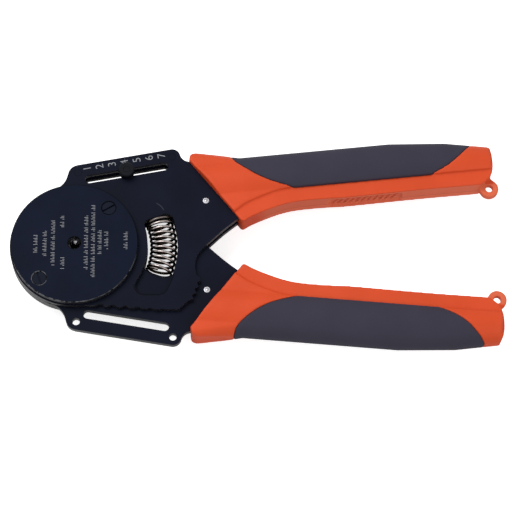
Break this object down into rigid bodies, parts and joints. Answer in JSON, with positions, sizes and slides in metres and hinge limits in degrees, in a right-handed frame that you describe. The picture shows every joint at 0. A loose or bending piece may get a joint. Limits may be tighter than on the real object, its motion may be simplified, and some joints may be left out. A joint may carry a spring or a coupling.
{
  "type": "indent crimp tool",
  "caption": "Hand crimp tool with a round indenter head, notched frame plates, depth selector, arc return spring and two-tone grips.",
  "frame": {"origin": "centre of the contact entry hole at the outer face of the front cover, on the axis that the moving handle turns about", "axes": "+Z out of the front cover along the head axis, +X along the open tool's symmetry line towards the handles, +Y towards the flange that carries the selector"},
  "size_m": [0.2369, 0.1064, 0.0265],
  "materials": {
    "black_oxide": "satin black finish on pressed steel plate",
    "cover_black": "smooth satin black disc",
    "hub_steel": "ground steel",
    "screw_black": "blackened steel",
    "rivet_steel": "bright turned steel",
    "orange_plastic": "fine textured moulding",
    "grey_rubber": "soft matt inlay",
    "spring_steel": "bright drawn wire",
    "indenter_steel": "hardened and polished",
    "knob_black": "black knurled",
    "pin_steel": "plain steel",
    "nut_steel": "dark steel"
  },
  "bodies": {
    "frame": {"front_plate": "black_oxide", "rear_plate": "black_oxide", "front_cover": "cover_black", "rear_cover": "cover_black", "indenter_carrier": "hub_steel", "cover_screws": "screw_black", "flange_studs": "screw_black", "pawl_rivet": "rivet_steel", "upper_shell": "orange_plastic", "upper_grip": "grey_rubber", "return_spring": "spring_steel", "pawl_spring": "spring_steel"},
    "moving_handle": {"cam_plate": "black_oxide", "plate_rivet": "rivet_steel", "lower_shell": "orange_plastic", "lower_grip": "grey_rubber"},
    "indenter_a": {"indenter_1": "indenter_steel"},
    "indenter_b": {"indenter_2": "indenter_steel"},
    "indenter_c": {"indenter_3": "indenter_steel"},
    "indenter_d": {"indenter_4": "indenter_steel"},
    "selector": {"selector_knob": "knob_black", "selector_pin": "pin_steel", "selector_clip": "pin_steel"},
    "locator_screw": {"locator_knob": "knob_black"},
    "contact_stop": {"stop_pin": "pin_steel"},
    "locator_nut": {"lock_nut": "nut_steel"},
    "pawl": {"ratchet_pawl": "pin_steel"}
  },
  "joints": [
    {"name": "handle_close", "type": "hinge", "parent": "frame", "child": "moving_handle", "pos_m": [0, 0, -0.00705], "axis": [0, 0, 1], "range_deg": [0, 9], "stiffness_Nm_per_rad": 5, "springref_deg": -9.17, "deforming": ["return_spring"]},
    {"name": "indent_a", "type": "slide", "parent": "frame", "child": "indenter_a", "axis": [-1, 0, 0], "range_m": [0, 0.001]},
    {"name": "indent_b", "type": "slide", "parent": "frame", "child": "indenter_b", "axis": [0, -1, 0], "range_m": [0, 0.001]},
    {"name": "indent_c", "type": "slide", "parent": "frame", "child": "indenter_c", "axis": [1, 0, 0], "range_m": [0, 0.001]},
    {"name": "indent_d", "type": "slide", "parent": "frame", "child": "indenter_d", "axis": [0, 1, 0], "range_m": [0, 0.001]},
    {"name": "selector_slide", "type": "slide", "parent": "frame", "child": "selector", "axis": [0.9842, 0.1771, 0], "range_m": [-0.0183, 0.0183]},
    {"name": "locator_turn", "type": "hinge", "parent": "frame", "child": "locator_screw", "pos_m": [0, 0, -0.0213], "axis": [0, 0, 1], "range_deg": [-720, 720]},
    {"name": "stop_slide", "type": "slide", "parent": "frame", "child": "contact_stop", "axis": [0, 0, 1], "range_m": [-0.002, 0.002]},
    {"name": "nut_turn", "type": "hinge", "parent": "frame", "child": "locator_nut", "pos_m": [0, 0, -0.0176], "axis": [0, 0, 1], "range_deg": [0, 60]},
    {"name": "pawl_swing", "type": "hinge", "parent": "frame", "child": "pawl", "pos_m": [0.06298, 0.02255, -0.00705], "axis": [0, 0, -1], "range_deg": [0, 12], "stiffness_Nm_per_rad": 0.02, "springref_deg": -11.46, "deforming": ["pawl_spring"]}
  ],
  "couplings": [
    {"joint": "indent_a", "follows": "handle_close", "m_per_rad": 0.0063662},
    {"joint": "indent_b", "follows": "handle_close", "m_per_rad": 0.0063662},
    {"joint": "indent_c", "follows": "handle_close", "m_per_rad": 0.0063662},
    {"joint": "indent_d", "follows": "handle_close", "m_per_rad": 0.0063662},
    {"joint": "locator_turn", "follows": "stop_slide", "rad_per_m": 6283.2}
  ]
}
